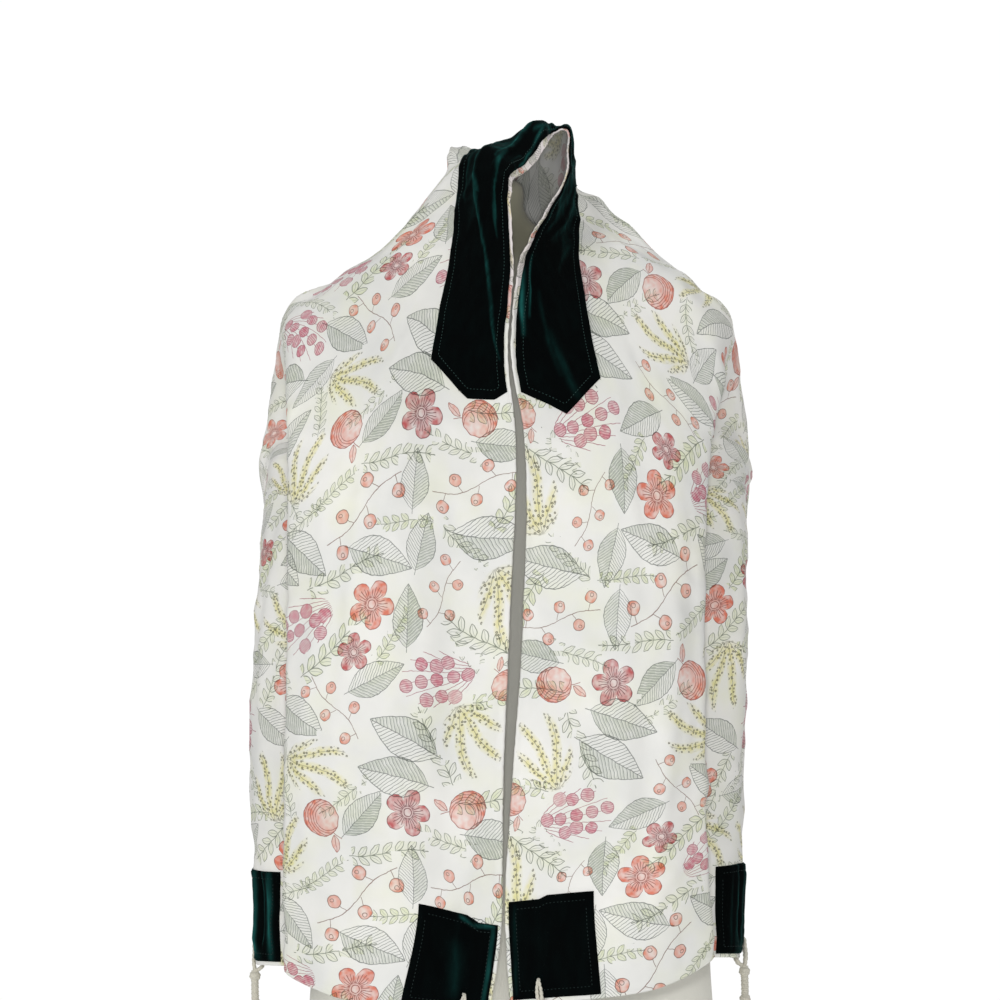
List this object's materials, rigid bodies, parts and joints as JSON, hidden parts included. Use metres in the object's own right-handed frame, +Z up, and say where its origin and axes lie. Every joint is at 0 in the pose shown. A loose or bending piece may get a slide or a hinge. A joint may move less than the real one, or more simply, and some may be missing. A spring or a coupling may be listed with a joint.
{
  "type": "tallit prayer shawl on a dress form",
  "caption": "Printed silk prayer shawl with a velvet neck band, velvet corners and knotted corner tassels, worn open on a limbless dress form on a pole stand.",
  "frame": {"origin": "on the floor, under the middle of the object", "axes": "+Z up, the front of the form faces -Y, +X to the right of someone who looks at the front"},
  "size_m": [0.4702, 0.36, 1.2442],
  "materials": {
    "printed_silk": "soft sheen, botanical print",
    "green_velvet": "velvet pile with teal sheen",
    "ivory_wool": "matte twisted wool",
    "form_linen": "matte",
    "steel": "satin"
  },
  "bodies": {
    "root": {"silk_back": "printed_silk", "silk_left_front": "printed_silk", "silk_right_front": "printed_silk", "neck_band": "green_velvet", "velvet_corner_left_front": "green_velvet", "velvet_corner_left_side": "green_velvet", "velvet_corner_right_front": "green_velvet", "velvet_corner_right_side": "green_velvet", "tassel_left_front": "ivory_wool", "tassel_left_side": "ivory_wool", "tassel_right_front": "ivory_wool", "tassel_right_side": "ivory_wool", "dress_form": "form_linen", "pole": "steel", "base": "steel"}
  },
  "joints": []
}
